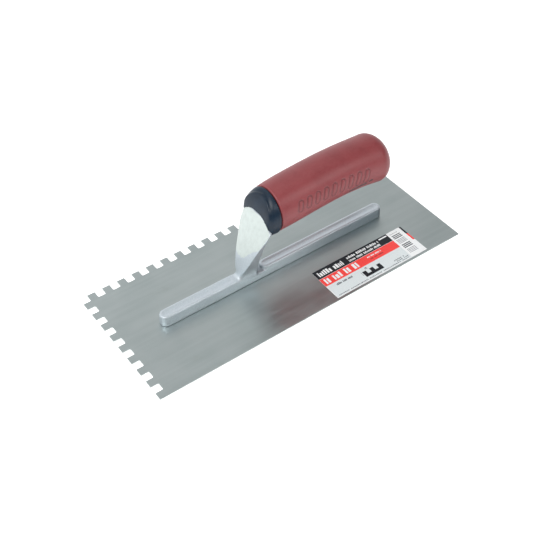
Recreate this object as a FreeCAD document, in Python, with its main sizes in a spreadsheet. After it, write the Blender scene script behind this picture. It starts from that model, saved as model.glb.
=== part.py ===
import FreeCAD, Part
import os
import Sketcher
from FreeCAD import Vector

# Notched finishing trowel, in millimetres.
#
# A thin steel blade with square notches along one long and one short edge is riveted to a
# die-cast mounting: one casting that is a bar along the blade, a flared shank and a tang.
# The tang carries a hard moulded core whose front stays bare as a collar, and a soft sleeve
# is moulded over the rest of the core.
#
# Origin: centre of the blade's underside. +Z up, +X along the blade towards the plain short
# edge and the butt of the handle, +Y towards the notched long edge.

DRIVING_SIZES = [
    # alias, value, what it drives
    ("blade_length", 279.4, "11 inch blade"),
    ("blade_width", 114.3, "4-1/2 inch blade"),
    ("blade_thickness", 0.8, "spring steel sheet"),
    ("notch_pitch", 12.7, "notch plus tooth, 1/2 inch"),
    ("notch_size", 6.35, "1/4 inch square notch"),
    ("notch_corner_radius", 0.9, "punched inner corners"),
    ("long_edge_notches", 22, "count along the long edge, with the corner's"),
    ("short_edge_notches", 8, "count along the short edge, without the corner's"),
    ("bar_length", 208.4, "mounting bar over its round ends"),
    ("bar_width", 10.3, "mounting bar at the blade"),
    ("bar_height", 9.6, "blade to the bar's rim"),
    ("bar_draft", 2.5, "draft of the cast sides, degrees"),
    ("bar_saddle_height", 6.6, "bar height behind the shank"),
    ("bar_rim_radius", 1.4, "rounded upper rim"),
    ("channel_width", 4.6, "shallow channel in the bar's top"),
    ("channel_depth", 0.5, "depth of that channel"),
    ("channel_end_gap", 2.9, "bar end to channel end"),
    ("front_land_end", -27.0, "front land runs on into the shank"),
    ("rear_land_start", -15.4, "nose of the rear land"),
    ("rivet_count", 7, "rivets along the bar"),
    ("rivet_pitch", 30.0, "rivet spacing"),
    ("rivet_radius", 1.9, "rivet body"),
    ("rivet_head_radius", 3.4, "countersunk head"),
    ("rivet_length", 5.6, "blade underside to rivet tip"),
    ("tang_radius", 5.5, "round tang"),
    ("tang_height", 63.2, "tang axis above the blade's underside"),
    ("tang_start", -13.0, "tang root inside the shank's head"),
    ("tang_end", 72.0, "tang tip"),
    ("collar_radius", 18.0, "hard collar at its seam"),
    ("collar_height", 62.9, "collar axis at its seam"),
    ("collar_front_radius", 17.5, "hard collar at its front"),
    ("collar_front_height", 61.6, "collar axis at its front"),
    ("collar_front", -18.9, "flat front of the collar"),
    ("collar_back", -7.7, "seam between collar and sleeve"),
    ("collar_slope_height", 59.8, "where the collar's front starts to lean back"),
    ("collar_slope_radius", 36.5, "arc of the leaning front"),
    ("collar_edge_radius", 3.0, "soft edge round the collar's front"),
    ("core_radius", 13.0, "hard core under the sleeve"),
    ("core_height", 65.4, "core axis above the blade's underside"),
    ("core_end", 82.0, "end of the hard core"),
    ("butt_depth", 14.3, "domed butt, from the sleeve's last round cut to its tip"),
    ("butt_drop", 2.2, "fall of the sleeve's axis over the butt"),
    ("label_length", 90.0, "printed label"),
    ("label_width", 31.8, "printed label"),
    ("label_thickness", 0.15, "printed label"),
    ("label_centre_x", 62.0, "label centre along the blade"),
    ("label_centre_y", -39.3, "label centre across the blade"),
]

# Level cuts through the shank, from inside the bar up to its shoulder and on into the collar:
# height, front corner x, half width there, front bulge, rear corner x, half width, rear bulge.
SHANK_CUT_COLUMNS = ("height", "front_x", "front_half", "front_bulge", "rear_x", "rear_half", "rear_bulge")
SHANK_CUTS = [
    ("root", (7.0, -37.2, 4.3, 0.3, -20.3, 4.3, 0.3)),
    ("foot", (13.0, -35.5, 4.5, 0.4, -20.0, 4.2, 0.4)),
    ("calf", (24.8, -31.6, 8.6, 1.2, -18.6, 6.2, 0.9)),
    ("waist", (36.8, -26.9, 12.3, 2.5, -16.2, 8.4, 2.0)),
    ("flare", (46.0, -22.9, 15.3, 3.6, -14.5, 11.2, 2.6)),
    ("shoulder", (54.8, -18.3, 17.2, 4.8, -12.0, 13.6, 3.2)),
    ("crown", (60.8, -18.5, 13.7, 2.9, -11.0, 11.5, 2.6)),
    ("brow", (64.2, -18.4, 9.0, 1.3, -11.7, 8.4, 1.6)),
    ("peak", (65.8, -18.35, 3.2, 0.3, -12.5, 3.2, 0.5)),
]
SHANK_BODY_CUTS = ("root", "foot", "calf", "waist", "flare", "shoulder")
SHANK_HEAD_CUTS = ("shoulder", "crown", "brow", "peak")

# Round cuts through the sleeve: distance along the blade, axis height, radius.
SLEEVE_CUT_COLUMNS = ("x", "height", "radius")
SLEEVE_CUTS = [
    ("lip", (-7.7, 63.4, 18.2)),
    ("neck", (2.0, 64.5, 18.7)),
    ("palm", (27.0, 66.7, 18.8)),
    ("crest", (52.0, 67.8, 18.8)),
    ("heel", (71.0, 67.1, 19.0)),
    ("butt", (86.2, 65.6, 19.6)),
]
BUTT_SHARES = (0.25, 0.5, 0.7, 0.85, 0.95, 0.995)

TOUCH = 0.01  # two places closer than this are the same place
FULL_TURN = 360.0
OVERRUN = 2.0  # how far a cut runs past the material that it removes


class Size:
    """A size that knows its number and the sheet expression that it comes from."""

    def __init__(self, number, text):
        self.number = number
        self.text = text

    def __add__(self, other):
        return Size(self.number + as_size(other).number, f"({self.text} + {as_size(other).text})")

    def __sub__(self, other):
        return Size(self.number - as_size(other).number, f"({self.text} - {as_size(other).text})")

    def __mul__(self, factor):
        return Size(self.number * factor, f"({self.text} * {factor})")

    def __truediv__(self, divisor):
        return Size(self.number / divisor, f"({self.text} / {divisor})")

    def __neg__(self):
        return Size(-self.number, f"(-1 * {self.text})")


def as_size(value):
    return value if isinstance(value, Size) else Size(float(value), str(value))


NOTHING = as_size(0.0)


def bulge_radius(half_chord, bulge):
    """Radius of the arc that stands out by bulge over a chord."""
    number = (half_chord.number ** 2 + bulge.number ** 2) / (2 * bulge.number)
    text = f"(({half_chord.text})^2 + ({bulge.text})^2) / (2 * {bulge.text})"
    return Size(number, text)


doc = FreeCAD.newDocument("notched_trowel")
sheet = doc.addObject("Spreadsheet::Sheet", "Sizes")


def fill_sheet():
    """One row per driving size: its name, its value under that alias, and a note."""
    rows = list(DRIVING_SIZES)
    for cut, values in SHANK_CUTS:
        rows += [(f"shank_{cut}_{column}", value, "level cut through the shank")
                 for column, value in zip(SHANK_CUT_COLUMNS, values)]
    for cut, values in SLEEVE_CUTS:
        rows += [(f"sleeve_{cut}_{column}", value, "round cut through the sleeve")
                 for column, value in zip(SLEEVE_CUT_COLUMNS, values)]
    for row, (alias, value, note) in enumerate(rows, start=1):
        sheet.set(f"A{row}", alias)
        sheet.set(f"B{row}", str(value))
        sheet.setAlias(f"B{row}", alias)
        sheet.set(f"C{row}", note)
    doc.recompute()


fill_sheet()


def size(alias):
    return Size(float(sheet.get(alias)), f"Sizes.{alias}")


# ---------------------------------------------------------------- sketch and feature helpers

def make_body(label):
    body = doc.addObject("PartDesign::Body", f"{label}_body")
    body.Label = label
    return body


def make_sketch(body, name, plane, offset=0.0):
    """An empty sketch on one of the body's own origin planes, moved along its normal."""
    sketch = body.newObject("Sketcher::SketchObject", name)
    support = [feature for feature in body.Origin.OriginFeatures if feature.Role == plane][0]
    sketch.AttachmentSupport = [(support, "")]
    sketch.MapMode = "FlatFace"
    offset = as_size(offset)
    sketch.AttachmentOffset = FreeCAD.Placement(Vector(0, 0, offset.number), FreeCAD.Rotation())
    if offset.text.startswith(("Sizes.", "(")):
        sketch.setExpression("AttachmentOffset.Base.z", offset.text)
    return sketch


def drive(sketch, kind, references, value):
    """Add a dimension to a sketch and bind it to the sheet."""
    index = sketch.addConstraint(Sketcher.Constraint(kind, *references, value.number))
    sketch.setExpression(f"Constraints[{index}]", value.text)


def pin_point(sketch, geometry, vertex, x, y):
    """Hold one vertex at (x, y) from the sketch's origin."""
    for kind, value in (("DistanceX", x), ("DistanceY", y)):
        if value.number == 0:
            axis = -2 if kind == "DistanceX" else -1
            sketch.addConstraint(Sketcher.Constraint("PointOnObject", geometry, vertex, axis))
        else:
            drive(sketch, kind, (-1, 1, geometry, vertex), value)


def close_outline(sketch, geometries):
    """Join each edge's end to the next edge's start."""
    for current, following in zip(geometries, geometries[1:] + geometries[:1]):
        sketch.addConstraint(Sketcher.Constraint("Coincident", current, 2, following, 1))


def draw_circle(sketch, x, y, radius):
    circle = Part.Circle(Vector(x.number, y.number, 0), Vector(0, 0, 1), radius.number)
    index = sketch.addGeometry(circle, False)
    pin_point(sketch, index, 3, x, y)
    drive(sketch, "Radius", (index,), radius)


def draw_polygon(sketch, corners):
    """Closed outline through corners, each a pair of sizes."""
    points = [Vector(x.number, y.number, 0) for x, y in corners]
    edges = [sketch.addGeometry(Part.LineSegment(start, end), False)
             for start, end in zip(points, points[1:] + points[:1])]
    close_outline(sketch, edges)
    for edge, (x, y) in zip(edges, corners):
        pin_point(sketch, edge, 1, x, y)


def draw_bowed_outline(sketch, corners, bows):
    """Closed outline through corners, whose sides are arcs or straight.

    Each bow is None for a straight side, or the arc's middle point and its radius. With no
    radius, the arc is a half circle, held by its centre's x.
    """
    points = [Vector(x.number, y.number, 0) for x, y in corners]
    edges = []
    for start, end, bow in zip(points, points[1:] + points[:1], bows):
        if bow is None:
            edge = Part.LineSegment(start, end)
        else:
            (x, y), _radius = bow
            edge = Part.Arc(start, Vector(x.number, y.number, 0), end)
        edges.append(sketch.addGeometry(edge, False))
    close_outline(sketch, edges)
    for edge, (x, y), bow in zip(edges, corners, bows):
        pin_point(sketch, edge, 1, x, y)
        if bow is not None and bow[1] is None:
            drive(sketch, "DistanceX", (-1, 1, edge, 3), x)
        elif bow is not None:
            drive(sketch, "Radius", (edge,), bow[1])


def draw_stadium(sketch, start, end, width):
    """Outline with round ends from x = start to x = end, centred on the x axis."""
    radius = width / 2
    left = start + radius
    right = end - radius
    corners = [(left, -radius), (right, -radius), (right, radius), (left, radius)]
    draw_bowed_outline(sketch, corners, [None, ((end, NOTHING), None), None, ((start, NOTHING), None)])


def extrude(body, kind, sketch, length, reversed_side=False, symmetric=False):
    """A Pad or Pocket of a sketch; no length means through everything."""
    feature = body.newObject(f"PartDesign::{kind}", f"{sketch.Name}_{kind.lower()}")
    feature.Profile = sketch
    if length is None:
        feature.Type = "ThroughAll"
    else:
        feature.Length = length.number
        feature.setExpression("Length", length.text)
    feature.SideType = "Symmetric" if symmetric else "One side"
    feature.Reversed = reversed_side
    return feature


def repeat_along(body, feature, axis, pitch, count, backwards=False):
    """Linear pattern of one feature along an origin axis of its body."""
    pattern = body.newObject("PartDesign::LinearPattern", f"{feature.Name}_row")
    pattern.Originals = [feature]
    direction = [entry for entry in body.Origin.OriginFeatures if entry.Role == axis][0]
    pattern.Direction = (direction, [""])
    pattern.Mode = "Spacing"
    pattern.Offset = pitch.number
    pattern.setExpression("Offset", pitch.text)
    pattern.Occurrences = int(count.number)
    pattern.setExpression("Occurrences", count.text)
    pattern.Reversed = backwards
    body.Tip = pattern
    return pattern


def round_edges(body, feature, edge_names, radius, name):
    fillet = body.newObject("PartDesign::Fillet", name)
    fillet.Base = (feature, edge_names)
    fillet.Radius = radius.number
    fillet.setExpression("Radius", radius.text)
    return fillet


def edges_where(feature, wanted):
    """Names of the edges of a feature for which wanted(bounding box) is true."""
    return [f"Edge{number}" for number, edge in enumerate(feature.Shape.Edges, start=1)
            if wanted(edge.BoundBox)]


# ---------------------------------------------------------------- blade

def notch_sketch(body, name, left, bottom, overrun_x, overrun_y):
    """Square notch from its inner corner (left, bottom); it runs past the blade's edge."""
    sketch = make_sketch(body, name, "XY_Plane")
    right = left + size("notch_size")
    top = bottom + size("notch_size")
    draw_polygon(sketch, [(left - overrun_x, bottom), (right, bottom),
                          (right, top + overrun_y), (left - overrun_x, top + overrun_y)])
    return sketch


def build_blade():
    body = make_body("blade")
    half_length = size("blade_length") / 2
    half_width = size("blade_width") / 2
    notch = size("notch_size")
    pitch = size("notch_pitch")

    outline = make_sketch(body, "blade_outline", "XY_Plane")
    draw_polygon(outline, [(-half_length, -half_width), (half_length, -half_width),
                           (half_length, half_width), (-half_length, half_width)])
    extrude(body, "Pad", outline, size("blade_thickness"))

    long_notch = notch_sketch(body, "long_edge_notch", -half_length, half_width - notch, 0, OVERRUN)
    long_cut = extrude(body, "Pocket", long_notch, None, reversed_side=True)
    repeat_along(body, long_cut, "X_Axis", pitch, size("long_edge_notches"))

    short_notch = notch_sketch(body, "short_edge_notch", -half_length, half_width - notch - pitch, OVERRUN, 0)
    short_cut = extrude(body, "Pocket", short_notch, None, reversed_side=True)
    teeth = repeat_along(body, short_cut, "Y_Axis", pitch, size("short_edge_notches"), backwards=True)
    doc.recompute()

    floor_y = half_width.number - notch.number
    floor_x = notch.number - half_length.number

    def is_inner_corner(box):
        upright = box.ZLength > size("blade_thickness").number / 2
        on_long_floor = abs(box.YMin - floor_y) < TOUCH and box.XMin > TOUCH - half_length.number
        on_short_floor = abs(box.XMin - floor_x) < TOUCH and box.YMin < floor_y + TOUCH
        return upright and (on_long_floor or on_short_floor)

    inner = edges_where(teeth, is_inner_corner)
    round_edges(body, teeth, inner, size("notch_corner_radius"), "notch_corners")
    drill_rivet_holes(body)
    return body


# ---------------------------------------------------------------- rivets

def draw_rivet_profile(sketch):
    """Half section of a flush countersunk rivet, from its axis outwards."""
    head = size("rivet_head_radius")
    shank = size("rivet_radius")
    tip = size("rivet_length")
    draw_polygon(sketch, [(NOTHING, NOTHING), (head, NOTHING), (shank, size("blade_thickness")),
                          (shank, tip), (NOTHING, tip)])


def turn_profile(body, kind, sketch):
    """A Revolution or Groove of a sketch, one full turn about the sketch's vertical axis."""
    feature = body.newObject(f"PartDesign::{kind}", f"{sketch.Name}_{kind.lower()}")
    feature.Profile = sketch
    feature.ReferenceAxis = (sketch, ["V_Axis"])
    feature.Angle = FULL_TURN
    return feature


def drill_rivet_holes(body):
    """Row of holes that fit the rivets, from the first one at the bar's front end."""
    sketch = make_sketch(body, f"{body.Label}_rivet_hole", "XZ_Plane")
    first = first_rivet_x()
    sketch.setExpression("AttachmentOffset.Base.x", first.text)
    doc.recompute()
    draw_rivet_profile(sketch)
    hole = turn_profile(body, "Groove", sketch)
    repeat_along(body, hole, "X_Axis", size("rivet_pitch"), size("rivet_count"))


def first_rivet_x():
    half_gaps = (size("rivet_count") - 1) / 2
    number = -half_gaps.number * size("rivet_pitch").number
    return Size(number, f"(-1 * {half_gaps.text} * Sizes.rivet_pitch)")


def build_rivet(position):
    body = make_body(f"rivet_{position + 1}")
    sketch = make_sketch(body, f"rivet_profile_{position + 1}", "XZ_Plane")
    draw_rivet_profile(sketch)
    turn_profile(body, "Revolution", sketch)
    body.setExpression("Placement.Base.x", f"{first_rivet_x().text} + {position} * Sizes.rivet_pitch")
    return body


# ---------------------------------------------------------------- mounting: bar, shank and tang

def add_land(body, name, start, end, height):
    """Round-ended, drafted length of the cast bar, standing on the blade."""
    sketch = make_sketch(body, name, "XY_Plane", size("blade_thickness"))
    draw_stadium(sketch, start, end, size("bar_width"))
    pad = extrude(body, "Pad", sketch, height)
    pad.TaperAngle = -size("bar_draft").number
    pad.setExpression("TaperAngle", (-size("bar_draft")).text)
    return pad


def cut_channel(body, name, start, end):
    """Shallow round-ended channel in the bar's top."""
    rim = size("blade_thickness") + size("bar_height")
    sketch = make_sketch(body, name, "XY_Plane", rim)
    draw_stadium(sketch, start, end, size("channel_width"))
    return extrude(body, "Pocket", sketch, size("channel_depth"))


def shank_cut_sketch(body, cut, purpose):
    """One level cut through the shank: bowed front and back, straight converging flanks."""
    place = {column: size(f"shank_{cut}_{column}") for column in SHANK_CUT_COLUMNS}
    sketch = make_sketch(body, f"shank_{purpose}_{cut}", "XY_Plane", place["height"])
    corners = [(place["front_x"], place["front_half"]), (place["front_x"], -place["front_half"]),
               (place["rear_x"], -place["rear_half"]), (place["rear_x"], place["rear_half"])]
    front_bow = (place["front_x"] - place["front_bulge"], NOTHING)
    rear_bow = (place["rear_x"] + place["rear_bulge"], NOTHING)
    draw_bowed_outline(sketch, corners, [
        (front_bow, bulge_radius(place["front_half"], place["front_bulge"])), None,
        (rear_bow, bulge_radius(place["rear_half"], place["rear_bulge"])), None])
    return sketch


def loft_cuts(body, name, sketches):
    loft = body.newObject("PartDesign::AdditiveLoft", name)
    loft.Profile = sketches[0]
    loft.Sections = sketches[1:]
    loft.Ruled = False
    return loft


def build_mounting():
    body = make_body("mounting")
    half_bar = size("bar_length") / 2
    gap = size("channel_end_gap")
    rim = size("blade_thickness") + size("bar_height")

    add_land(body, "bar_saddle", -half_bar, half_bar, size("bar_saddle_height"))
    add_land(body, "bar_front_land", -half_bar, size("front_land_end"), size("bar_height"))
    bar = add_land(body, "bar_rear_land", size("rear_land_start"), half_bar, size("bar_height"))
    doc.recompute()
    rim_edges = edges_where(bar, lambda box: abs(box.ZMin - rim.number) < TOUCH and box.ZLength < TOUCH)
    round_edges(body, bar, rim_edges, size("bar_rim_radius"), "bar_rim")
    cut_channel(body, "front_channel", -half_bar + gap, size("front_land_end"))
    cut_channel(body, "rear_channel", size("rear_land_start") + gap, half_bar - gap)

    lower = [shank_cut_sketch(body, cut, "stem") for cut in SHANK_BODY_CUTS]
    loft_cuts(body, "shank_stem", lower)
    upper = [shank_cut_sketch(body, cut, "head") for cut in SHANK_HEAD_CUTS]
    loft_cuts(body, "shank_head", upper)

    tang = make_sketch(body, "tang_section", "YZ_Plane", size("tang_start"))
    draw_circle(tang, NOTHING, size("tang_height"), size("tang_radius"))
    extrude(body, "Pad", tang, size("tang_end") - size("tang_start"))
    drill_rivet_holes(body)
    return body


# ---------------------------------------------------------------- handle

def build_handle_core(mounting):
    """Hard core: bare collar in front, round core behind, hollow where the casting fills it."""
    blank = make_body("handle_core_blank")
    back = size("collar_back")
    seam = make_sketch(blank, "collar_seam", "YZ_Plane", back)
    draw_circle(seam, NOTHING, size("collar_height"), size("collar_radius"))
    face = make_sketch(blank, "collar_face", "YZ_Plane", size("collar_front"))
    draw_circle(face, NOTHING, size("collar_front_height"), size("collar_front_radius"))
    loft_cuts(blank, "collar_form", [seam, face])

    slope = make_sketch(blank, "collar_slope", "XZ_Plane")
    draw_collar_slope(slope)
    sloped = extrude(blank, "Pocket", slope, None, symmetric=True)
    doc.recompute()
    front_edges = edges_where(sloped, lambda box: box.XMax < back.number - TOUCH)
    round_edges(blank, sloped, front_edges, size("collar_edge_radius"), "collar_front_edge")

    core = make_sketch(blank, "core_section", "YZ_Plane", back)
    draw_circle(core, NOTHING, size("core_height"), size("core_radius"))
    extrude(blank, "Pad", core, size("core_end") - back)

    fitted = doc.addObject("Part::Cut", "handle_core_fitted")
    fitted.Base = blank
    fitted.Tool = mounting
    fitted.Label = "handle_core"
    return fitted


def draw_collar_slope(sketch):
    """Region ahead of the collar's leaning front: an arc that starts upright at the slope height."""
    front = size("collar_front")
    foot = size("collar_slope_height")
    radius = size("collar_slope_radius")
    top = size("collar_height") + size("collar_radius") + OVERRUN
    rise = top - foot
    reach_text = f"({radius.text} - sqrt(({radius.text})^2 - {rise.text}^2))"
    reach = Size(radius.number - (radius.number ** 2 - rise.number ** 2) ** 0.5, reach_text)
    ahead = front - OVERRUN
    half_rise = rise.number / 2
    bow_x = front.number + radius.number - (radius.number ** 2 - half_rise ** 2) ** 0.5
    bow = (as_size(bow_x), foot + half_rise)
    corners = [(front + reach, top), (front, foot), (ahead, foot), (ahead, top)]
    draw_bowed_outline(sketch, corners, [(bow, radius), None, None, None])


def sleeve_section(body, name, x, height, radius):
    sketch = make_sketch(body, name, "YZ_Plane", x)
    draw_circle(sketch, NOTHING, height, radius)
    return sketch


def butt_section(body, share):
    """Round cut at a share of the butt's depth: an elliptical dome whose axis falls with it."""
    x = size("sleeve_butt_x") + size("butt_depth") * share
    height = size("sleeve_butt_height") - size("butt_drop") * share
    radius = size("sleeve_butt_radius") * (1 - share ** 2) ** 0.5
    return sleeve_section(body, f"butt_cut_{round(1000 * share)}", x, height, radius)


def build_grip_sleeve():
    """Soft arched sleeve with a domed butt and a blind bore for the core."""
    body = make_body("grip_sleeve")
    cuts = []
    for cut, _values in SLEEVE_CUTS:
        x, height, radius = [size(f"sleeve_{cut}_{column}") for column in SLEEVE_CUT_COLUMNS]
        cuts.append(sleeve_section(body, f"sleeve_cut_{cut}", x, height, radius))
    loft_cuts(body, "sleeve_form", cuts)
    dome = [butt_section(body, share) for share in (0.0,) + BUTT_SHARES]
    loft_cuts(body, "sleeve_butt", dome)
    bore = make_sketch(body, "core_bore", "YZ_Plane", size("collar_back"))
    draw_circle(bore, NOTHING, size("core_height"), size("core_radius"))
    extrude(body, "Pocket", bore, size("core_end") - size("collar_back"), reversed_side=True)
    return body


# ---------------------------------------------------------------- label

def build_size_label():
    label = doc.addObject("Part::Box", "size_label_sheet")
    label.Label = "size_label"
    half_length = size("label_length") / 2
    half_width = size("label_width") / 2
    for name, value in (("Length", size("label_length")), ("Width", size("label_width")),
                        ("Height", size("label_thickness")),
                        ("Placement.Base.x", size("label_centre_x") - half_length),
                        ("Placement.Base.y", size("label_centre_y") - half_width),
                        ("Placement.Base.z", size("blade_thickness"))):
        label.setExpression(name, value.text)
    return label


# ---------------------------------------------------------------- build, check and write

def check_document():
    for item in doc.Objects:
        if "Invalid" in item.State or "Error" in item.State:
            raise SystemExit(f"{item.Name} failed: {item.State}")


def write_node(node):
    shape = node.Shape
    if shape.isNull() or not shape.isValid():
        raise SystemExit(f"{node.Label} has no valid shape")
    box = shape.optimalBoundingBox(False)
    print(f"{node.Label:14s} solids {len(shape.Solids)} volume {shape.Volume:10.1f} "
          f"x {box.XMin:7.1f}..{box.XMax:6.1f} y {box.YMin:6.1f}..{box.YMax:5.1f} z {box.ZMin:5.2f}..{box.ZMax:5.1f}")
    shape.exportStep(f"parts/{node.Label}.step")


mounting_node = build_mounting()
nodes = [build_blade(), mounting_node, build_handle_core(mounting_node), build_grip_sleeve(),
         build_size_label()]
nodes += [build_rivet(position) for position in range(int(size("rivet_count").number))]
doc.recompute()
check_document()
os.makedirs("parts", exist_ok=True)
for built in nodes:
    write_node(built)
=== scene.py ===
import math
import random

import bmesh
import bpy
import numpy as np
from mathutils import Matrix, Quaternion, Vector
from mathutils.bvhtree import BVHTree


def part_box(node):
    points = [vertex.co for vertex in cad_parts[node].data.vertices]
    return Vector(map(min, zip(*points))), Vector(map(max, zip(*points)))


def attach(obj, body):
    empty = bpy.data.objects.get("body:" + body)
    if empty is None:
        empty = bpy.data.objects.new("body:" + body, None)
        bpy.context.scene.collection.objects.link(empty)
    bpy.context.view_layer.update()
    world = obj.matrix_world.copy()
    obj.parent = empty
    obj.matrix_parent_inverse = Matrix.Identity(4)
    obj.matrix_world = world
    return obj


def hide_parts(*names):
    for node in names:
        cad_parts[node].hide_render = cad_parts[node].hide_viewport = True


# The looks of a notched trowel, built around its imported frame: +Z up, +X towards the butt of the
# handle, +Y towards the blade's notched long edge. Sizes and places are in millimetres, except
# that the camera's and the studio's are in metres.

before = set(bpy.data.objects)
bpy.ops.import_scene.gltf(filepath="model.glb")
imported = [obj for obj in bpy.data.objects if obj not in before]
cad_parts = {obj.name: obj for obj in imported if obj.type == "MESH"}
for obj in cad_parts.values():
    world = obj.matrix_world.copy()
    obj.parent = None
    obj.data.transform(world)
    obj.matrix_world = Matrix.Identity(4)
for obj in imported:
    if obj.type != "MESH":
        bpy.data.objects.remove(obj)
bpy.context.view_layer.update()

MM = 0.001
TAU = 2 * math.pi
MERGE = 0.002

# Camera: the view that shows the plain long edge, the label and the handle's near side
CAMERA_PLACE = (-0.3145, -0.4157, 0.5222)
CAMERA_AIM = (-0.0061, 0.0038, 0.0)
CAMERA_ROLL = 0.25
CAMERA_LENS = 64.5
SENSOR = 36.0

# Studio: the room's light grows from dim to bright as a direction turns towards its bright side,
# between the two cosines in ROOM_TURN
ROOM_BRIGHT_SIDE = (-0.2, 0.8, -0.55)
ROOM_TURN = (-0.55, 0.25)
ROOM_DIM = 0.14
ROOM_BRIGHT = 1.03
ROOM_COLOUR = (0.97, 0.985, 1.0, 1.0)
FLOOR_HALF = 2.5
FLOOR_DROP = 0.0001
FLOOR_GLOW = 0.5
SOFTBOX_AIM = (0.0, 0.0, 0.04)
SOFTBOXES = (
    # name, place, size, watts
    ("left", (-0.95, -0.25, 1.10), (0.9, 0.7), 10.0),
    ("overhead", (0.30, 0.10, 1.25), (0.6, 0.6), 1.5),
    ("front", (0.54, -0.86, 0.76), (0.42, 0.42), 3.0),
    ("near", (-0.17, -0.80, 0.88), (0.36, 0.36), 2.0),
)

# Blade
BLADE_EDGE = 0.13

# Casting
CAST_VOXEL = 0.44
CAST_SMOOTHING = 6
FILLETS = (
    # centre, reach each way, rounds of smoothing: the shank's foot, the saddle behind it and
    # the bar's rear land
    ((-29.5, 0.0, 11.0), (12.0, 9.0, 8.0), 130),
    ((-18.5, 0.0, 7.5), (4.5, 9.0, 5.0), 45),
    ((48.0, 0.0, 12.5), (85.0, 11.0, 6.0), 12),
)

# The casting's skin. In the saddle, and along the bar's sides towards the rear, its colour is
# darkened to stand in for dark surroundings that this studio lacks: the metal is the same there.
# The shank's front is ground above a frayed edge that climbs across it. Pairs are where a change
# starts and ends.
SADDLE_CENTRE = -17.8
SADDLE_REACH = (2.6, 4.6)
SADDLE_FLOOR = (5.4, 8.0)
SADDLE_TOP = (8.6, 11.5)
SADDLE_SHADE = 0.75
SIDE_SHADE_RUN = (-14.0, 70.0)
SIDE_SHADE = 0.95
GROUND_EDGE = (27.3, 28.5)
GROUND_FRAY = 0.9
GROUND_CLIMB = 12.5
GROUND_CLIMB_RUN = (-0.5, 13.0)

# Marks on the bar's near side: x and height of each, stake marks pressed in and specks of flash
BAR_SIDE_TOP = 9.0
STAKE_PLACES = ((-100.0, 5.4), (89.0, 4.6))
STAKE_RADIUS = 1.3
STAKE_DEPTH = 0.16
FLASH_PLACES = ((-26.2, 2.3), (-8.2, 2.4))
FLASH_RADIUS = 0.55
FLASH_HEIGHT = 0.15

# Collar
COLLAR_SPLIT = 2.0
COLLAR_VOXEL = 0.24
COLLAR_SMOOTHING = 3
NOSE_SMOOTHING = 160
NOSE_CLEAR = 1.2
COLLAR_AXIS_HEIGHT = 62.8
CREASE_TOP = -11.2
CREASE_PER_DEGREE = -0.067
CREASE_LAST_ANGLE = 95.0
CREASE_DEPTH = 0.65
CREASE_WIDTH = 1.45
CREASE_FADE = (120.0, 145.0)
COLLAR_OUTSIDE = (14.0, 15.5)
BAND_SWELL = 0.6
BAND_POWER = 2.8
NOSE_OFFSET = 2.6
NOSE_WIDTH = 1.6
NOSE_SWELL = 0.35

# Sleeve
SLEEVE_STEP = 0.42
SLEEVE_BUTT_DEPTH = 14.3
SLEEVE_BUTT_POWER = 2.1
SLEEVE_BUTT_ARC = 1.45
SLEEVE_BORE = 13.0
SLEEVE_BORE_END = 82.0
SLEEVE_BORE_HEIGHT = 65.4
SLEEVE_BORE_CHAMFER = 0.8
SLEEVE_LIP_RADIUS = 0.9
SLEEVE_LIP_RINGS = 6
SLEEVE_STATIONS = 48
SLEEVE_CURVE_DEGREE = 5

# Tread moulded into each flank: x along the grip, drop down the flank from level with its axis
TREAD_COUNT = 9
TREAD_START = 8.5
TREAD_RUN = 61.0
TREAD_DROP = (-4.9, -1.4)
TREAD_HALF = (2.5, 4.0)
TREAD_RADIUS = 1.9
TREAD_LEAN = math.radians(-14.0)
TREAD_RISE = 0.22
GROOVE_WIDTH = 0.6
GROOVE_DEPTH = 0.4

# The inked bar and dot under the tread
INK_CENTRE = (62.5, 7.1)
INK_HALF = 7.6
INK_RADIUS = 1.05
INK_DOT_CENTRE = (74.2, 4.9)
INK_DOT_HALF = 0.9
INK_LEAN = math.radians(94.0)
INK_EDGE = 0.25
INK_DEPTH = 0.2

# Label: its size, and the length of its main panel
LABEL_LENGTH = 90.0
LABEL_WIDTH = 31.8
LABEL_PANEL = 74.6


# ---------------------------------------------------------------- pieces and meshes

def add_piece(name, mesh, nodes):
    """A visible piece that rides on the trowel and stands for the named CAD nodes."""
    piece = bpy.data.objects.new(name, mesh)
    bpy.context.scene.collection.objects.link(piece)
    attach(piece, "root")
    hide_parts(*nodes)
    return piece


def closed_copy(node):
    """A CAD node's mesh as one closed skin, with its own vertices merged."""
    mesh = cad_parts[node].data.copy()
    mesh.materials.clear()
    skin = bmesh.new()
    skin.from_mesh(mesh)
    bmesh.ops.remove_doubles(skin, verts=skin.verts, dist=MERGE * MM)
    skin.to_mesh(mesh)
    skin.free()
    return mesh


def apply_modifier(mesh, kind, **settings):
    """The mesh after one modifier."""
    holder = bpy.data.objects.new("holder", mesh)
    bpy.context.scene.collection.objects.link(holder)
    modifier = holder.modifiers.new(kind, kind)
    for name, value in settings.items():
        setattr(modifier, name, value)
    graph = bpy.context.evaluated_depsgraph_get()
    result = bpy.data.meshes.new_from_object(holder.evaluated_get(graph))
    bpy.data.objects.remove(holder)
    return result


def read_points(mesh):
    points = np.empty(len(mesh.vertices) * 3)
    mesh.vertices.foreach_get("co", points)
    return points.reshape(-1, 3)


def write_points(mesh, points):
    mesh.vertices.foreach_set("co", points.astype(np.float32).ravel())
    mesh.update()


def read_normals(mesh):
    normals = np.empty(len(mesh.vertices) * 3)
    mesh.vertices.foreach_get("normal", normals)
    return normals.reshape(-1, 3)


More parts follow.
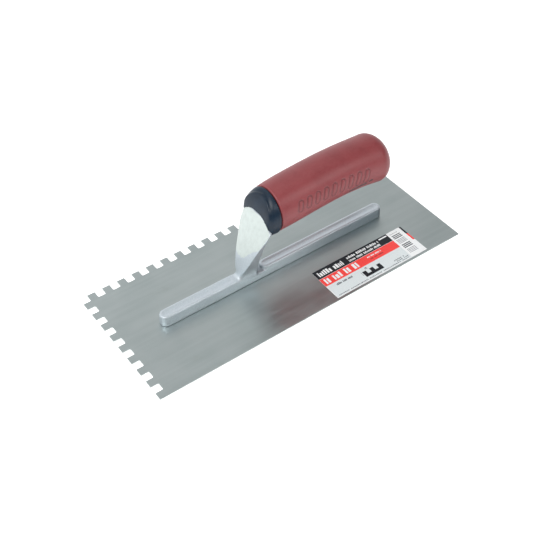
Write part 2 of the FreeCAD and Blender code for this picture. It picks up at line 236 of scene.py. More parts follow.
def smooth_points(mesh, rounds, weights=None):
    """Moves each vertex towards the mean of its neighbours, by its weight, some rounds over."""
    edges = np.empty(len(mesh.edges) * 2, np.int64)
    mesh.edges.foreach_get("vertices", edges)
    first, second = edges.reshape(-1, 2).T
    points = read_points(mesh)
    count = len(points)
    degree = np.bincount(first, minlength=count) + np.bincount(second, minlength=count)
    share = 0.5 if weights is None else 0.5 * weights[:, None]
    for _ in range(rounds):
        total = np.stack(
            [
                np.bincount(first, points[second, axis], count)
                + np.bincount(second, points[first, axis], count)
                for axis in range(3)
            ],
            axis=1,
        )
        points += share * (total / degree[:, None] - points)
    write_points(mesh, points)


def shade_smooth(mesh):
    mesh.polygons.foreach_set("use_smooth", np.ones(len(mesh.polygons), bool))
    mesh.update()


def soft_step(values, low, high):
    share = np.clip((values - low) / (high - low), 0.0, 1.0)
    return share * share * (3.0 - 2.0 * share)


# ---------------------------------------------------------------- finishes

class Finish:
    """A material and short calls for the nodes that it is made from. Lengths are in mm."""

    def __init__(self, name, **fixed):
        self.material = bpy.data.materials.new(name)
        self.material.use_nodes = True
        self.tree = self.material.node_tree
        self.surface = self.tree.nodes["Principled BSDF"]
        for socket, value in fixed.items():
            self.surface.inputs[socket.replace("_", " ")].default_value = value
        self.relief = None

    def add(self, kind, *inputs, **settings):
        """One node. Its inputs are given in order, as values or as other nodes' outputs."""
        node = self.tree.nodes.new("ShaderNode" + kind)
        for name, value in settings.items():
            setattr(node, name, value)
        for socket, value in zip(node.inputs, inputs):
            if isinstance(value, bpy.types.NodeSocket):
                self.tree.links.new(value, socket)
            elif value is not None:
                socket.default_value = value
        return node

    def place(self, stretch=(1.0, 1.0, 1.0)):
        """Where a point lies in the trowel's own frame, in mm, stretched along each axis."""
        where = self.add("TexCoord").outputs["Object"]
        scale = [1.0 / (MM * s) for s in stretch]
        return self.add("VectorMath", where, scale, operation="MULTIPLY").outputs[0]

    def noise(self, size, detail=3.0, stretch=(1.0, 1.0, 1.0), roughness=0.5):
        """Noise from 0 to 1 whose patches are about size mm across."""
        node = self.add("TexNoise", self.place(stretch))
        node.inputs["Scale"].default_value = 1.0 / size
        node.inputs["Detail"].default_value = detail
        node.inputs["Roughness"].default_value = roughness
        return node.outputs["Fac"]

    def calc(self, operation, *values):
        return self.add("Math", *values, operation=operation).outputs[0]

    def spread(self, value, low, high, to_low=0.0, to_high=1.0):
        """value's range low to high, smoothly mapped and clamped."""
        limits = (low, high, to_low, to_high)
        return self.add("MapRange", value, *limits, interpolation_type="SMOOTHSTEP").outputs[0]

    def blend(self, share, first, second):
        """A colour between two colours."""
        node = self.add("Mix", data_type="RGBA")
        for number, value in ((0, share), (6, first), (7, second)):
            socket = node.inputs[number]
            if isinstance(value, bpy.types.NodeSocket):
                self.tree.links.new(value, socket)
            elif isinstance(value, (tuple, list)):
                socket.default_value = (*value, 1.0)
            else:
                socket.default_value = value
        return node.outputs[2]

    def colour(self, value):
        self.tree.links.new(value, self.surface.inputs["Base Color"])

    def drive(self, socket, value):
        self.tree.links.new(value, self.surface.inputs[socket])

    def emboss(self, height, depth):
        """Adds relief: height from 0 to 1, depth in mm."""
        node = self.add("Bump")
        node.inputs["Strength"].default_value = 1.0
        node.inputs["Distance"].default_value = depth * MM
        self.tree.links.new(height, node.inputs["Height"])
        if self.relief is not None:
            self.tree.links.new(self.relief, node.inputs["Normal"])
        self.relief = node.outputs[0]
        self.tree.links.new(self.relief, self.surface.inputs["Normal"])


def blade_steel():
    """Cold-rolled steel with fine lengthwise brushing and faint oily smears."""
    finish = Finish("brushed_blade_steel", Metallic=1.0)
    brushing = finish.noise(0.9, detail=5.0, stretch=(60.0, 1.0, 1.0), roughness=0.6)
    streaks = finish.noise(3.5, detail=3.0, stretch=(24.0, 1.0, 1.0))
    cloud = finish.noise(38.0, detail=3.0)
    smear = finish.noise(17.0, detail=4.0, stretch=(2.2, 1.0, 1.0), roughness=0.6)
    grey = finish.blend(finish.spread(cloud, 0.3, 0.7), (0.405, 0.455, 0.45), (0.45, 0.495, 0.49))
    streaked = finish.blend(finish.spread(streaks, 0.25, 0.75, 0.0, 0.35), grey, (0.52, 0.565, 0.56))
    finish.colour(finish.blend(finish.spread(smear, 0.62, 0.74, 0.0, 0.3), streaked, (0.37, 0.40, 0.38)))
    smeared = finish.spread(smear, 0.35, 0.7, 0.30, 0.38)
    brushed = finish.spread(brushing, 0.3, 0.7, -0.02, 0.04)
    finish.drive("Roughness", finish.calc("ADD", smeared, brushed))
    finish.emboss(brushing, 0.006)
    finish.emboss(cloud, 0.25)
    return finish.material


def cast_metal():
    """Die-cast aluminium: a sandy skin, and a face on the shank's front ground nearly white."""
    finish = Finish("satin_cast_aluminium")
    grain = finish.noise(0.8, detail=4.0, roughness=0.6)
    ripple = finish.noise(3.4, detail=3.0)
    patches = finish.noise(9.0, detail=3.0)
    skin = finish.blend(finish.spread(grain, 0.3, 0.7), (0.55, 0.61, 0.65), (0.67, 0.725, 0.76))
    skin = finish.blend(finish.spread(patches, 0.35, 0.7, 0.0, 0.4), skin, (0.60, 0.66, 0.71))
    shade = finish.calc("MAXIMUM", saddle_shade(finish), side_shade(finish))
    skin = finish.blend(shade, skin, (0.27, 0.315, 0.35))
    mottle = finish.noise(2.6, detail=4.0, stretch=(1.0, 1.0, 1.6))
    ground = finish.blend(finish.spread(mottle, 0.35, 0.75), (0.67, 0.735, 0.71), (0.62, 0.68, 0.655))
    mask = ground_mask(finish)
    finish.colour(finish.blend(mask, skin, ground))
    finish.drive("Metallic", finish.spread(mask, 0.0, 1.0, 0.82, 0.30))
    ground_rough = finish.spread(mask, 0.0, 1.0, 0.44, 0.52)
    grain_rough = finish.spread(grain, 0.3, 0.7, 0.0, 0.08)
    finish.drive("Roughness", finish.calc("ADD", ground_rough, grain_rough))
    finish.emboss(ripple, 0.10)
    finish.emboss(grain, 0.03)
    return finish.material


def saddle_shade(finish):
    """Where the saddle between the shank's back and the rear land is darkened. Shading only."""
    where = finish.add("SeparateXYZ", finish.place()).outputs
    away = finish.calc("ABSOLUTE", finish.calc("SUBTRACT", where[0], SADDLE_CENTRE))
    near = finish.spread(away, *SADDLE_REACH, SADDLE_SHADE, 0.0)
    under = finish.spread(where[2], *SADDLE_TOP, 1.0, 0.0)
    above = finish.spread(where[2], *SADDLE_FLOOR)
    return finish.calc("MULTIPLY", near, finish.calc("MULTIPLY", under, above))


def side_shade(finish):
    """Where the bar's sides are darkened, more and more towards the rear. Shading only."""
    where = finish.add("SeparateXYZ", finish.place()).outputs
    normal = finish.add("SeparateXYZ", finish.add("TexCoord").outputs["Normal"]).outputs
    side = finish.spread(finish.calc("ABSOLUTE", normal[1]), 0.55, 0.9)
    rearward = finish.spread(where[0], *SIDE_SHADE_RUN, 0.0, SIDE_SHADE)
    return finish.calc("MULTIPLY", side, rearward)


def ground_mask(finish):
    """1 where the shank's front is ground: its leading faces, above an edge that slants across."""
    where = finish.add("SeparateXYZ", finish.place()).outputs
    normal = finish.add("SeparateXYZ", finish.add("TexCoord").outputs["Normal"]).outputs
    nearer = finish.calc("MULTIPLY", where[1], -1.0)
    climb = finish.spread(nearer, *GROUND_CLIMB_RUN, 0.0, -GROUND_CLIMB)
    fray = finish.spread(finish.noise(2.4, detail=3.0), 0.2, 0.8, -GROUND_FRAY, GROUND_FRAY)
    height = finish.calc("ADD", where[2], finish.calc("ADD", climb, fray))
    above = finish.spread(height, *GROUND_EDGE)
    leading = finish.spread(finish.calc("MULTIPLY", normal[0], -1.0), 0.52, 0.74)
    return finish.calc("MULTIPLY", above, leading)


def collar_plastic():
    """Dark navy moulded plastic, semi-gloss, with a very fine grain."""
    finish = Finish("navy_collar_plastic", Specular_IOR_Level=0.36)
    cloud = finish.noise(7.0, detail=3.0)
    grain = finish.noise(0.7, detail=3.0)
    share = finish.spread(cloud, 0.3, 0.7)
    finish.colour(finish.blend(share, (0.003, 0.013, 0.028), (0.006, 0.020, 0.040)))
    cloud_rough = finish.spread(cloud, 0.3, 0.7, 0.29, 0.35)
    grain_rough = finish.spread(grain, 0.3, 0.7, 0.0, 0.05)
    finish.drive("Roughness", finish.calc("ADD", cloud_rough, grain_rough))
    finish.emboss(grain, 0.012)
    finish.emboss(cloud, 0.12)
    return finish.material


def sleeve_rubber():
    """Dull red soft-touch skin with a fine grain.

    GROOVE marks the lines round the tread's pads, where the colour is darkened as painted shade in the
    grooves, and INK the dark bar and dot under them."""
    finish = Finish("red_sleeve_rubber", Specular_IOR_Level=0.65)
    finish.surface.inputs["Sheen Weight"].default_value = 0.08
    finish.surface.inputs["Sheen Roughness"].default_value = 0.45
    finish.surface.inputs["Sheen Tint"].default_value = (1.0, 0.86, 0.87, 1.0)
    cloud = finish.noise(14.0, detail=3.0)
    mottle = finish.noise(2.2, detail=4.0, roughness=0.6)
    grain = finish.noise(0.6, detail=3.0)
    base = finish.blend(finish.spread(cloud, 0.3, 0.7), (0.225, 0.028, 0.033), (0.260, 0.037, 0.042))
    dusty = finish.blend(finish.spread(mottle, 0.3, 0.75, 0.0, 0.45), base, (0.29, 0.057, 0.062))
    ink = finish.add("Attribute", attribute_name="INK").outputs["Fac"]
    worn = finish.calc("MULTIPLY", ink, finish.spread(mottle, 0.25, 0.45, 0.65, 1.0))
    groove_shade = finish.add("Attribute", attribute_name="GROOVE").outputs["Fac"]
    # Painted shade: the lines round the tread's pads are darkened, standing in for the shade that falls
    # in the grooves
    shaded = finish.blend(finish.calc("MULTIPLY", groove_shade, 0.75), dusty, (0.11, 0.016, 0.020))
    finish.colour(finish.blend(worn, shaded, (0.016, 0.014, 0.018)))
    mottle_rough = finish.spread(mottle, 0.3, 0.7, 0.42, 0.50)
    grain_rough = finish.spread(grain, 0.3, 0.7, -0.03, 0.03)
    finish.drive("Roughness", finish.calc("ADD", mottle_rough, grain_rough))
    finish.emboss(grain, 0.02)
    finish.emboss(mottle, 0.03)
    return finish.material


def print_ink(name, dark, light, gloss):
    """One ink on the label's film, a little uneven as printed ink is."""
    finish = Finish(name, Specular_IOR_Level=0.3)
    mottle = finish.noise(0.8, detail=4.0)
    cloud = finish.noise(12.0, detail=2.0)
    finish.colour(finish.blend(finish.spread(mottle, 0.3, 0.7), dark, light))
    finish.drive("Roughness", finish.spread(cloud, 0.3, 0.7, gloss, gloss + 0.1))
    finish.emboss(cloud, 0.08)
    return finish.material


def rivet_steel():
    """Steel ground flush, with short scratches."""
    finish = Finish("ground_rivet_steel", Metallic=1.0)
    scratches = finish.noise(0.5, detail=4.0, stretch=(14.0, 1.0, 1.0))
    cloud = finish.noise(2.5, detail=3.0)
    finish.colour(finish.blend(finish.spread(cloud, 0.3, 0.7), (0.46, 0.46, 0.45), (0.60, 0.60, 0.585)))
    finish.drive("Roughness", finish.spread(scratches, 0.3, 0.7, 0.26, 0.42))
    finish.emboss(scratches, 0.008)
    return finish.material


def floor_finish():
    """A matt pale floor that glows a little."""
    finish = Finish("pale_floor")
    cloud = finish.noise(160.0, detail=2.0)
    finish.colour(finish.blend(cloud, (0.93, 0.93, 0.93), (0.95, 0.95, 0.95)))
    finish.surface.inputs["Roughness"].default_value = 0.9
    finish.surface.inputs["Specular IOR Level"].default_value = 0.1
    finish.surface.inputs["Emission Color"].default_value = (1.0, 1.0, 1.0, 1.0)
    finish.surface.inputs["Emission Strength"].default_value = FLOOR_GLOW
    return finish.material


# ---------------------------------------------------------------- blade

def make_blade():
    """The notched sheet, its cut edges broken by a small round."""
    mesh = closed_copy("blade")
    skin = bmesh.new()
    skin.from_mesh(mesh)
    bmesh.ops.dissolve_limit(skin, angle_limit=math.radians(1.0), verts=skin.verts, edges=skin.edges)
    skin.to_mesh(mesh)
    skin.free()
    mesh = apply_modifier(
        mesh, "BEVEL", width=BLADE_EDGE * MM, segments=2,
        limit_method="ANGLE", angle_limit=math.radians(40.0),
    )
    mesh.set_sharp_from_angle(angle=math.radians(20.0))
    mesh.materials.append(blade_steel())
    return add_piece("notched_blade", mesh, ["blade"])


# ---------------------------------------------------------------- casting

def make_mounting():
    """Bar, shank and tang in one casting: soft edges, a wide fillet where the shank meets the bar."""
    mesh = apply_modifier(closed_copy("mounting"), "REMESH", mode="VOXEL", voxel_size=CAST_VOXEL * MM)
    smooth_points(mesh, CAST_SMOOTHING)
    for centre, reach, rounds in FILLETS:
        away = np.linalg.norm((read_points(mesh) / MM - centre) / reach, axis=1)
        smooth_points(mesh, rounds, 1.0 - soft_step(away, 0.6, 1.0))
    press_marks(mesh)
    shade_smooth(mesh)
    mesh.materials.append(cast_metal())
    return add_piece("cast_mounting", mesh, ["mounting"])


def press_marks(mesh):
    """Round stake marks and two specks of flash on the bar's near side."""
    points = read_points(mesh)
    normals = read_normals(mesh)
    side = soft_step(-normals[:, 1], 0.5, 0.9) * (points[:, 2] < BAR_SIDE_TOP * MM)
    marks = [(place, STAKE_RADIUS, -STAKE_DEPTH) for place in STAKE_PLACES]
    marks += [(place, FLASH_RADIUS, FLASH_HEIGHT) for place in FLASH_PLACES]
    for (x, z), radius, height in marks:
        away = np.hypot(points[:, 0] / MM - x, points[:, 2] / MM - z) / radius
        points += normals * (side * height * MM * np.exp(-away ** 4))[:, None]
    write_points(mesh, points)


# ---------------------------------------------------------------- collar

def split_skin(mesh, x, keep_front):
    """The part of a closed skin in front of (or behind) a level across x, closed again there."""
    skin = bmesh.new()
    skin.from_mesh(mesh)
    bmesh.ops.bisect_plane(
        skin, geom=skin.verts[:] + skin.edges[:] + skin.faces[:], dist=0.0,
        plane_co=(x * MM, 0.0, 0.0), plane_no=(1.0, 0.0, 0.0),
        clear_outer=keep_front, clear_inner=not keep_front,
    )
    rim = [edge for edge in skin.edges if edge.is_boundary]
    bmesh.ops.triangle_fill(skin, use_beauty=True, use_dissolve=False, edges=rim)
    bmesh.ops.recalc_face_normals(skin, faces=skin.faces)
    part = bpy.data.meshes.new("split")
    skin.to_mesh(part)
    skin.free()
    return part


def make_collar():
    """The navy collar: the bare front of the hard core, creased between its nose and ring band."""
    core = closed_copy("handle_core")
    finish = collar_plastic()
    mesh = split_skin(core, COLLAR_SPLIT, True)
    mesh = apply_modifier(mesh, "REMESH", mode="VOXEL", voxel_size=COLLAR_VOXEL * MM)
    smooth_points(mesh, COLLAR_SMOOTHING)
    away = distance_from(closed_copy("mounting"), read_points(mesh)) / MM
    smooth_points(mesh, NOSE_SMOOTHING, soft_step(away, NOSE_CLEAR, 2 * NOSE_CLEAR))
    write_points(mesh, crease_collar(read_points(mesh)))
    smooth_points(mesh, COLLAR_SMOOTHING)
    shade_smooth(mesh)
    mesh.materials.append(finish)
    add_piece("navy_collar", mesh, ["handle_core"])
    hidden = split_skin(core, COLLAR_SPLIT, False)
    hidden.materials.append(finish)
    add_piece("core_under_sleeve", hidden, ["handle_core"])


def distance_from(mesh, points):
    """How far each point is from a mesh's surface."""
    skin = bmesh.new()
    skin.from_mesh(mesh)
    tree = BVHTree.FromBMesh(skin)
    skin.free()
    return np.array([tree.find_nearest(Vector(point))[3] for point in points])


def crease_collar(points):
    """Presses the crease round the collar and swells the ring band behind it."""
    x, y, z = points.T / MM
    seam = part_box("grip_sleeve")[0].x / MM
    across = np.hypot(y, z - COLLAR_AXIS_HEIGHT)
    angle = np.degrees(np.arctan2(np.abs(y), z - COLLAR_AXIS_HEIGHT))
    crease = CREASE_TOP + CREASE_PER_DEGREE * np.minimum(angle, CREASE_LAST_ANGLE)
    outside = soft_step(across, *COLLAR_OUTSIDE) * (x < seam)
    valley = -CREASE_DEPTH * np.exp(-((x - crease) / CREASE_WIDTH) ** 2)
    band = np.clip((x - crease) / (seam - crease), 0.0, 1.0) ** BAND_POWER
    nose = np.exp(-((x - crease + NOSE_OFFSET) / NOSE_WIDTH) ** 2)
    move = (valley + BAND_SWELL * np.sin(math.pi * band) + NOSE_SWELL * nose) * outside * MM / across
    move *= 1.0 - soft_step(angle, *CREASE_FADE)
    points[:, 1] += y * move
    points[:, 2] += (z - COLLAR_AXIS_HEIGHT) * move
    return points


# ---------------------------------------------------------------- sleeve

def sleeve_lines(start, end):
    """The sleeve's axis height and radius along x, as smooth curves through the CAD sleeve."""
    skin = bmesh.new()
    skin.from_mesh(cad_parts["grip_sleeve"].data)
    tree = BVHTree.FromBMesh(skin)
    stations = np.linspace(start + 1.0, end - 1.0, SLEEVE_STATIONS)
    top, bottom = [], []
    for x in stations:
        down = tree.ray_cast(Vector((x, 0.0, 200.0)) * MM, Vector((0.0, 0.0, -1.0)))
        up = tree.ray_cast(Vector((x, 0.0, 0.0)) * MM, Vector((0.0, 0.0, 1.0)))
        top.append(down[0].z / MM)
        bottom.append(up[0].z / MM)
    skin.free()
    top, bottom = np.array(top), np.array(bottom)
    axis = np.polynomial.Polynomial.fit(stations, (top + bottom) / 2, SLEEVE_CURVE_DEGREE)
    radius = np.polynomial.Polynomial.fit(stations, (top - bottom) / 2, SLEEVE_CURVE_DEGREE)
    return axis, radius


def sleeve_rings():
    """Each ring as (x, axis height, radius): rolled lip, arched grip, domed butt."""
    low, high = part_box("grip_sleeve")
    lip, tip = low.x / MM, high.x / MM
    dome = tip - SLEEVE_BUTT_DEPTH
    axis, radius = sleeve_lines(lip, dome)
    rings = []
    for k in range(SLEEVE_LIP_RINGS):
        turn = math.pi / 2 * k / SLEEVE_LIP_RINGS
        inset = SLEEVE_LIP_RADIUS * (1.0 - math.sin(turn))
        x = lip + SLEEVE_LIP_RADIUS * (1.0 - math.cos(turn))
        rings.append((x, axis(x), radius(x) - inset))
    count = round((dome - lip - SLEEVE_LIP_RADIUS) / SLEEVE_STEP)
    for x in np.linspace(lip + SLEEVE_LIP_RADIUS, dome, count, endpoint=False):
        rings.append((x, axis(x), radius(x)))
    butt_rings = round(SLEEVE_BUTT_ARC * SLEEVE_BUTT_DEPTH / SLEEVE_STEP)
    slope = radius.deriv()(dome)
    for k in range(butt_rings):
        turn = math.pi / 2 * k / butt_rings
        along = math.sin(turn) ** (2 / SLEEVE_BUTT_POWER)
        across = math.cos(turn) ** (2 / SLEEVE_BUTT_POWER)
        x = dome + SLEEVE_BUTT_DEPTH * along
        height = axis(dome) + axis.deriv()(dome) * (x - dome) * (1 - along / 2)
        rings.append((x, height, radius(dome) * across + slope * (x - dome) * across * (1 - along)))
    return rings, tip


def capsule_distance(u, v, centre, half, radius, lean):
    """Signed distance from a slanted capsule: negative inside."""
    du, dv = u - centre[0], v - centre[1]
    c, s = math.cos(lean), math.sin(lean)
    along = np.clip(dv * c + du * s, -half, half)
    return np.hypot(du - along * s, dv - along * c) - radius


def tread_relief(x, drop):
    """Relief, the share of the lines round the pads, which the rubber's colour darkens as painted shade,
    and ink share of the pattern moulded into each flank.

    x runs along the grip and drop down its flank, in mm from level with the axis."""
    relief = np.zeros_like(x)
    groove_shade = np.zeros_like(x)
    for k in range(TREAD_COUNT):
        share = k / (TREAD_COUNT - 1)
        pad_drop = TREAD_DROP[0] + share * (TREAD_DROP[1] - TREAD_DROP[0])
        centre = (TREAD_START + share * TREAD_RUN, pad_drop)
        half = TREAD_HALF[0] + share * (TREAD_HALF[1] - TREAD_HALF[0])
        far = capsule_distance(x, drop, centre, half, TREAD_RADIUS, TREAD_LEAN)
        line = np.exp(-(far / GROOVE_WIDTH) ** 2)
        relief += TREAD_RISE * soft_step(-far, 0.0, 0.8) - GROOVE_DEPTH * line
        # The lines' share is kept for the painted shade that darkens the grooves in the rubber's colour
        groove_shade = np.maximum(groove_shade, line)
    bar = capsule_distance(x, drop, INK_CENTRE, INK_HALF, INK_RADIUS, INK_LEAN)
    dot = capsule_distance(x, drop, INK_DOT_CENTRE, INK_DOT_HALF, INK_RADIUS, INK_LEAN)
    ink = soft_step(-np.minimum(bar, dot), -INK_EDGE, INK_EDGE)
    relief -= INK_DEPTH * ink
    return relief, groove_shade, ink


def make_sleeve():
    """The red sleeve: rings round its arched axis, with the tread pressed into both flanks."""
    rings, tip = sleeve_rings()
    widest = max(radius for _, _, radius in rings)
    around = round(TAU * widest / SLEEVE_STEP)
    angle = np.arange(around) * TAU / around
    grid = np.array(rings)
    x = np.repeat(grid[:, 0:1], around, axis=1)
    radius = np.repeat(grid[:, 2:3], around, axis=1)
    turn = np.repeat(angle[None, :], len(rings), axis=0)
    # turn is 0 at the top and a quarter turn on each flank, so both flanks get the same tread
    flank = np.abs(np.where(turn > math.pi, turn - TAU, turn))
    drop = (flank - math.pi / 2) * radius
    relief, groove_shade, ink = tread_relief(x, drop)
    radius = radius + relief
    points = np.stack(
        [x, radius * np.sin(turn), grid[:, 1:2] + radius * np.cos(turn)], axis=2
    ).reshape(-1, 3)
    # Shares for the painted shade in the groove lines and for the printed ink
    shares = [groove_shade.ravel(), ink.ravel()]
    return build_tube(points, shares, len(rings), around, tip, grid[-1, 1])


def build_tube(points, shares, rings, around, tip, tip_height):
    """A closed skin from the rings: the outer face, the tip, the front lip and the bore."""
    bore = []
    turn = np.arange(around) * TAU / around
    for x, radius in (
        (points[0, 0], SLEEVE_BORE + SLEEVE_BORE_CHAMFER),
        (points[0, 0] + SLEEVE_BORE_CHAMFER, SLEEVE_BORE),
        (SLEEVE_BORE_END - SLEEVE_BORE_CHAMFER, SLEEVE_BORE),
        (SLEEVE_BORE_END, SLEEVE_BORE - SLEEVE_BORE_CHAMFER),
    ):
        height = SLEEVE_BORE_HEIGHT + radius * np.cos(turn)
        bore.append(np.stack([np.full(around, x), radius * np.sin(turn), height], axis=1))
    last = rings * around
    tips = np.array([[tip, 0.0, tip_height], [SLEEVE_BORE_END, 0.0, SLEEVE_BORE_HEIGHT]])
    vertices = np.concatenate([points, *bore, tips]) * MM
    order = list(range(rings - 1, -1, -1)) + list(range(rings, rings + 4))
    tip_vertex, bore_vertex = last + 4 * around, last + 4 * around + 1
    faces = []
    for k in range(around):
        n = (k + 1) % around
        faces.append((order[0] * around + k, tip_vertex, order[0] * around + n))
        for one, two in zip(order, order[1:]):
            faces.append((one * around + k, one * around + n, two * around + n, two * around + k))
        faces.append((order[-1] * around + k, order[-1] * around + n, bore_vertex))
    mesh = bpy.data.meshes.new("grip_skin")
    mesh.from_pydata(vertices.tolist(), [], faces)
    mesh.validate()
    for name, values in zip(("GROOVE", "INK"), shares):
        attribute = mesh.attributes.new(name, "FLOAT", "POINT")
        full = np.zeros(len(vertices), np.float32)
        full[:last] = values
        attribute.data.foreach_set("value", full)
    shade_smooth(mesh)
    mesh.materials.append(sleeve_rubber())
    return add_piece("grip_skin", mesh, ["grip_sleeve"])


# ---------------------------------------------------------------- label

def greek_line(dice, ink, left, right, bottom, height, stroke, word):
    """A row of plain upright strokes, in words, that stands for a line of print."""
    place = left
    while place < right - stroke:
        for _ in range(dice.randint(*word)):
            width = stroke * dice.uniform(0.7, 1.6)
            if place + width > right:
                return
            yield ink, place, place + width, bottom, bottom + height * dice.choice((0.75, 0.9, 1.0))
            place += width + 0.5 * stroke
        place += 1.6 * stroke


def stripe_stack(ink, left, right, bottom, thick, gap, count):
    """Stripes along a panel, stacked across it."""
    for k in range(count):
        low = bottom + k * (thick + gap)
        yield ink, left, right, low, low + thick


def label_blocks():
    """The print as (ink, left, right, bottom, top), from the label's near left corner."""
    dice = random.Random(12)
    blocks = [
        ("film", 0.0, LABEL_LENGTH, 0.0, LABEL_WIDTH),
        ("pale", 0.6, LABEL_PANEL, 0.6, 14.3),
        ("black", 0.0, LABEL_PANEL, 23.0, LABEL_WIDTH),
        ("red", 0.0, LABEL_PANEL, 14.3, 22.8),
        ("black", 88.4, LABEL_LENGTH, 22.6, LABEL_WIDTH),
        ("red", 88.4, LABEL_LENGTH, 14.3, 22.6),
        ("film", 65.8, 73.8, 29.3, 30.6),
    ]
    blocks += greek_line(dice, "film", 2.6, 27.5, 24.8, 4.9, 1.25, (5, 6))
    blocks += greek_line(dice, "film", 31.8, 64.5, 27.8, 2.4, 0.8, (4, 7))
    blocks += greek_line(dice, "film", 31.8, 65.0, 24.4, 2.2, 0.7, (5, 8))
    blocks += greek_line(dice, "film", 2.6, 40.5, 15.9, 5.6, 1.7, (2, 3))
    blocks += greek_line(dice, "film", 45.5, 59.5, 19.4, 1.5, 0.6, (3, 5))
    blocks += greek_line(dice, "shade", 46.5, 60.5, 16.8, 1.3, 0.6, (3, 5))
    blocks += greek_line(dice, "grey", 8.0, 24.5, 10.4, 2.0, 0.6, (4, 5))
    blocks += greek_line(dice, "grey", 2.5, 73.5, 1.4, 0.7, 0.9, (6, 12))
    blocks += greek_line(dice, "grey", 60.0, 70.5, 4.6, 0.8, 0.8, (4, 6))
    blocks += greek_line(dice, "grey", 61.8, 74.0, 3.0, 0.8, 0.8, (4, 6))
    blocks += comb_blocks(31.8, 4.0)
    blocks += stripe_stack("soft", 76.6, 85.0, 4.4, 0.55, 0.75, 4)
    blocks += stripe_stack("grey", 76.6, 85.0, 10.6, 1.0, 0.7, 3)
    blocks += stripe_stack("soft", 76.6, 85.0, 16.8, 0.6, 0.7, 4)
    blocks += stripe_stack("grey", 76.6, 85.0, 22.8, 0.9, 0.7, 3)
    blocks += greek_line(dice, "soft", 76.6, 85.4, 28.6, 0.8, 0.8, (4, 6))
    return blocks


def comb_blocks(left, bottom):
    """A notch diagram: three square teeth on a back, with small measure marks."""
    tooth, back = 3.5, 2.6
    root, tip = bottom + back, bottom + back + tooth
    gap_left, gap_right = left + tooth, left + 2 * tooth
    yield "black", left, left + 5 * tooth, bottom, root
    for k in range(3):
        yield "black", left + 2 * k * tooth, left + (2 * k + 1) * tooth, root, tip
    yield "grey", left - 1.2, left - 0.9, root, tip
    yield "grey", gap_left + 0.4, gap_right - 0.4, tip + 1.0, tip + 1.3
    yield "grey", gap_left + 0.8, gap_right - 0.8, tip + 1.8, tip + 2.6


INKS = {
    "film": ((0.90, 0.93, 0.93), (0.94, 0.96, 0.96), 0.30),
    "pale": ((0.73, 0.80, 0.81), (0.79, 0.85, 0.86), 0.32),
    "black": ((0.007, 0.010, 0.014), (0.012, 0.016, 0.022), 0.32),
    "red": ((0.96, 0.060, 0.055), (1.0, 0.085, 0.075), 0.28),
    "shade": ((0.30, 0.030, 0.030), (0.38, 0.040, 0.040), 0.30),
    "grey": ((0.060, 0.072, 0.085), (0.09, 0.105, 0.12), 0.30),
    "soft": ((0.28, 0.29, 0.32), (0.36, 0.37, 0.40), 0.30),
}


def edge_places(pairs):
    """Where the blocks' edges lie along one side of the label, each place once, in order."""
    return sorted({round(value, 3) for pair in pairs for value in pair})


def make_label():
    """A thin film, divided along the edges of its print so that each cell holds one ink."""
    low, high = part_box("size_label")
    blocks = label_blocks()
    scale_x = (high.x - low.x) / LABEL_LENGTH
    scale_y = (high.y - low.y) / LABEL_WIDTH
    columns = edge_places(block[1:3] for block in blocks)
    rows = edge_places(block[3:5] for block in blocks)
    cell = np.zeros((len(rows) - 1, len(columns) - 1), int)
    names = list(INKS)
    middle_x = (np.array(columns[1:]) + columns[:-1]) / 2
    middle_y = (np.array(rows[1:]) + rows[:-1]) / 2
    for ink, left, right, bottom, top in blocks:
        across = (middle_y > bottom) & (middle_y < top)
        along = (middle_x > left) & (middle_x < right)
        cell[np.outer(across, along)] = names.index(ink)
    sheet = bmesh.new()
    grid = [
        [sheet.verts.new((low.x + x * scale_x, low.y + y * scale_y, high.z)) for x in columns]
        for y in rows
    ]
    for j in range(len(rows) - 1):
        for i in range(len(columns) - 1):
            near, far = grid[j], grid[j + 1]
            face = sheet.faces.new((near[i], near[i + 1], far[i + 1], far[i]))
            face.material_index = int(cell[j, i])
    rim = [edge for edge in sheet.edges if edge.is_boundary]
    made = bmesh.ops.extrude_edge_only(sheet, edges=rim)["geom"]
    for vertex in made:
        if isinstance(vertex, bmesh.types.BMVert):
            vertex.co.z = low.z
    bmesh.ops.holes_fill(sheet, edges=[edge for edge in sheet.edges if edge.is_boundary])
    bmesh.ops.recalc_face_normals(sheet, faces=sheet.faces)
    for face in sheet.faces:
        if face.normal.z < 0.5:
            face.material_index = names.index("film")
    mesh = bpy.data.meshes.new("printed_label")
    sheet.to_mesh(mesh)
    sheet.free()
    for name, (dark, light, gloss) in INKS.items():
        mesh.materials.append(print_ink(f"label_{name}", dark, light, gloss))
    return add_piece("printed_label", mesh, ["size_label"])


# ---------------------------------------------------------------- rivets

RIVET_PROFILE = (
    # radius, height: a ground head with a slight dish, its countersink, its body and its tip
    (0.0, 0.05), (1.2, 0.035), (2.4, 0.01), (3.05, 0.0), (3.3, 0.04), (3.4, 0.16),
    (1.9, 0.8), (1.9, 5.35), (1.65, 5.6), (0.0, 5.6),
)
RIVET_SIDES = 48


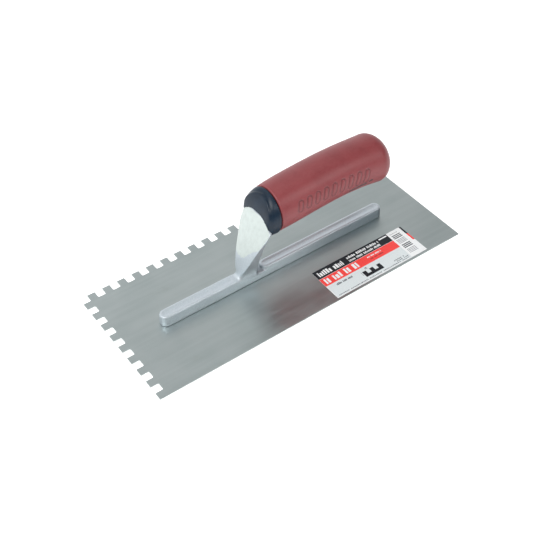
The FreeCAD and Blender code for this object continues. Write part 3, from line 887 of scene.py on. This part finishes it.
def make_rivets():
    """One turned rivet for each rivet node, its head flush with the blade's underside."""
    finish = rivet_steel()
    count = sum(1 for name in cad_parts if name.startswith("rivet_"))
    for number in range(1, count + 1):
        node = f"rivet_{number}"
        low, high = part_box(node)
        middle = (low + high) / 2
        lathe = bmesh.new()
        profile = [
            lathe.verts.new((middle.x + radius * MM, middle.y, low.z + height * MM))
            for radius, height in RIVET_PROFILE
        ]
        edges = [lathe.edges.new(pair) for pair in zip(profile, profile[1:])]
        bmesh.ops.spin(
            lathe, geom=profile + edges, cent=(middle.x, middle.y, 0.0), axis=(0.0, 0.0, 1.0),
            angle=TAU, steps=RIVET_SIDES, use_merge=True,
        )
        bmesh.ops.remove_doubles(lathe, verts=lathe.verts, dist=MERGE * MM)
        bmesh.ops.recalc_face_normals(lathe, faces=lathe.faces)
        mesh = bpy.data.meshes.new(f"rivet_head_{number}")
        lathe.to_mesh(mesh)
        lathe.free()
        shade_smooth(mesh)
        mesh.set_sharp_from_angle(angle=math.radians(35.0))
        mesh.materials.append(finish)
        add_piece(f"rivet_head_{number}", mesh, [node])


# ---------------------------------------------------------------- studio

def make_camera():
    camera = bpy.data.objects.new("camera", bpy.data.cameras.new("camera"))
    bpy.context.scene.collection.objects.link(camera)
    bpy.context.scene.camera = camera
    camera.data.lens = CAMERA_LENS
    camera.data.sensor_width = SENSOR
    line = Vector(CAMERA_AIM) - Vector(CAMERA_PLACE)
    roll = Quaternion((0.0, 0.0, 1.0), math.radians(CAMERA_ROLL))
    camera.location = CAMERA_PLACE
    camera.rotation_mode = "QUATERNION"
    camera.rotation_quaternion = line.to_track_quat("-Z", "Y") @ roll


def make_floor():
    mesh = bpy.data.meshes.new("floor")
    sides = ((-1, -1), (1, -1), (1, 1), (-1, 1))
    mesh.from_pydata([(x * FLOOR_HALF, y * FLOOR_HALF, 0.0) for x, y in sides], [], [(0, 1, 2, 3)])
    mesh.materials.append(floor_finish())
    floor = bpy.data.objects.new("floor", mesh)
    floor.location.z = -FLOOR_DROP
    bpy.context.scene.collection.objects.link(floor)


def add_softbox(name, place, size, power):
    lamp = bpy.data.lights.new(name, "AREA")
    lamp.shape = "RECTANGLE"
    lamp.size, lamp.size_y = size
    lamp.energy = power
    box = bpy.data.objects.new(name, lamp)
    box.location = place
    box.rotation_mode = "QUATERNION"
    box.rotation_quaternion = (Vector(SOFTBOX_AIM) - Vector(place)).to_track_quat("-Z", "Y")
    bpy.context.scene.collection.objects.link(box)


def make_studio():
    """A pale room, brighter behind and below the trowel, and the softboxes round it."""
    scene = bpy.context.scene
    scene.view_settings.view_transform = "Standard"
    world = bpy.data.worlds.new("studio")
    world.use_nodes = True
    scene.world = world
    tree = world.node_tree
    sky = tree.nodes["Background"]
    towards = tree.nodes.new("ShaderNodeVectorMath")
    towards.operation = "DOT_PRODUCT"
    towards.inputs[1].default_value = Vector(ROOM_BRIGHT_SIDE).normalized()
    strength = tree.nodes.new("ShaderNodeMapRange")
    strength.interpolation_type = "SMOOTHSTEP"
    for socket, value in zip(strength.inputs[1:5], (*ROOM_TURN, ROOM_DIM, ROOM_BRIGHT)):
        socket.default_value = value
    tree.links.new(tree.nodes.new("ShaderNodeTexCoord").outputs["Generated"], towards.inputs[0])
    tree.links.new(towards.outputs["Value"], strength.inputs[0])
    tree.links.new(strength.outputs[0], sky.inputs["Strength"])
    sky.inputs["Color"].default_value = ROOM_COLOUR
    for name, place, size, power in SOFTBOXES:
        add_softbox(name, place, size, power)


make_camera()
make_floor()
make_studio()
make_blade()
make_mounting()
make_collar()
make_sleeve()
make_label()
make_rivets()
